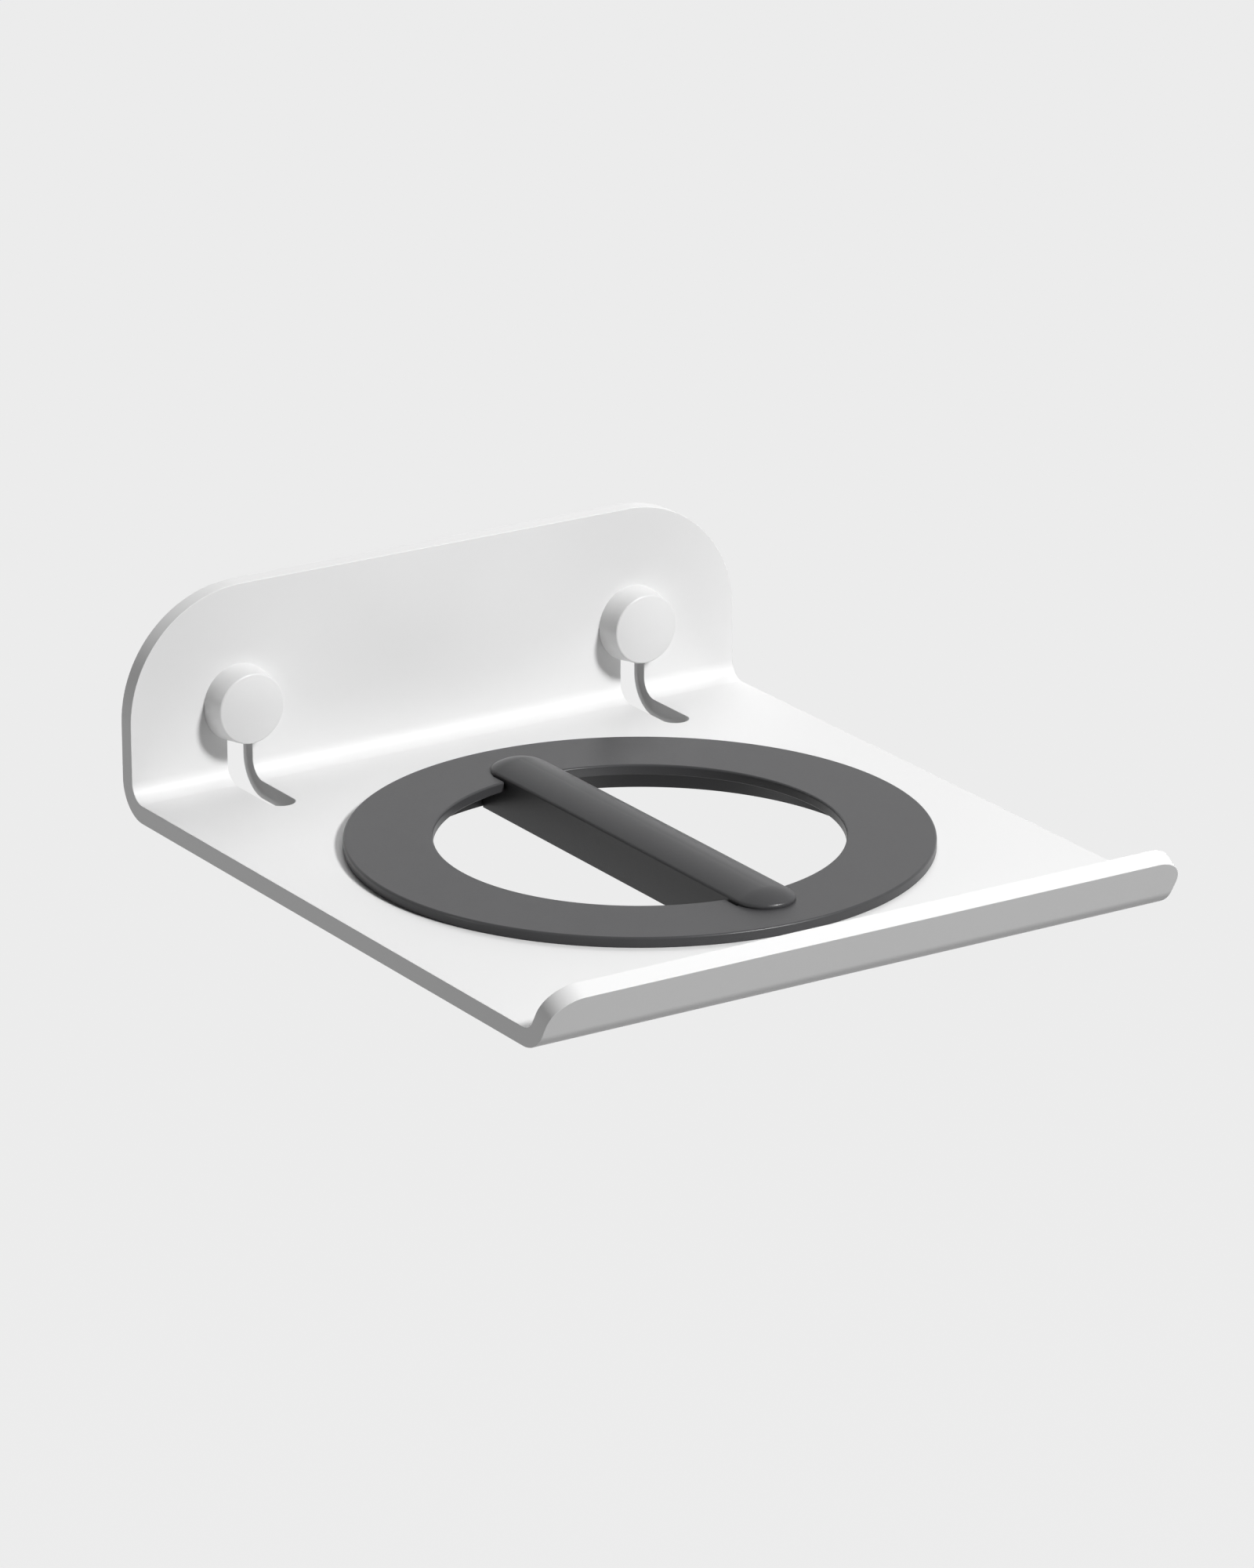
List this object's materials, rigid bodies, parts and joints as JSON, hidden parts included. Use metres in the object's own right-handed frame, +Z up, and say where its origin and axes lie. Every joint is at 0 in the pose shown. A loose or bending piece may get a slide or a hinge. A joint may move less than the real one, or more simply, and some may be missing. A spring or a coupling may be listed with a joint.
{
  "type": "hair straightener holder",
  "caption": "Folded white wall shelf with an upturned front lip, a dark ring insert in its round hole, a divider across the opening for a hair straightener's arms, and knob fixings.",
  "frame": {"origin": "on the wall face of the flange, midway between the wall studs", "axes": "+X along the wall, +Y into the wall along the studs, +Z up"},
  "size_m": [0.15, 0.1951, 0.0492],
  "materials": {
    "white_coat": "satin white powder coat",
    "dark_moulding": "fine matte dark grey, heat-resistant moulding",
    "white_knob": "satin white",
    "zinc_steel": "zinc-plated steel"
  },
  "bodies": {
    "root": {"shelf": "white_coat", "ring_insert": "dark_moulding", "divider": "dark_moulding", "left_knob": "white_knob", "right_knob": "white_knob", "left_stud": "zinc_steel", "right_stud": "zinc_steel"}
  },
  "joints": []
}
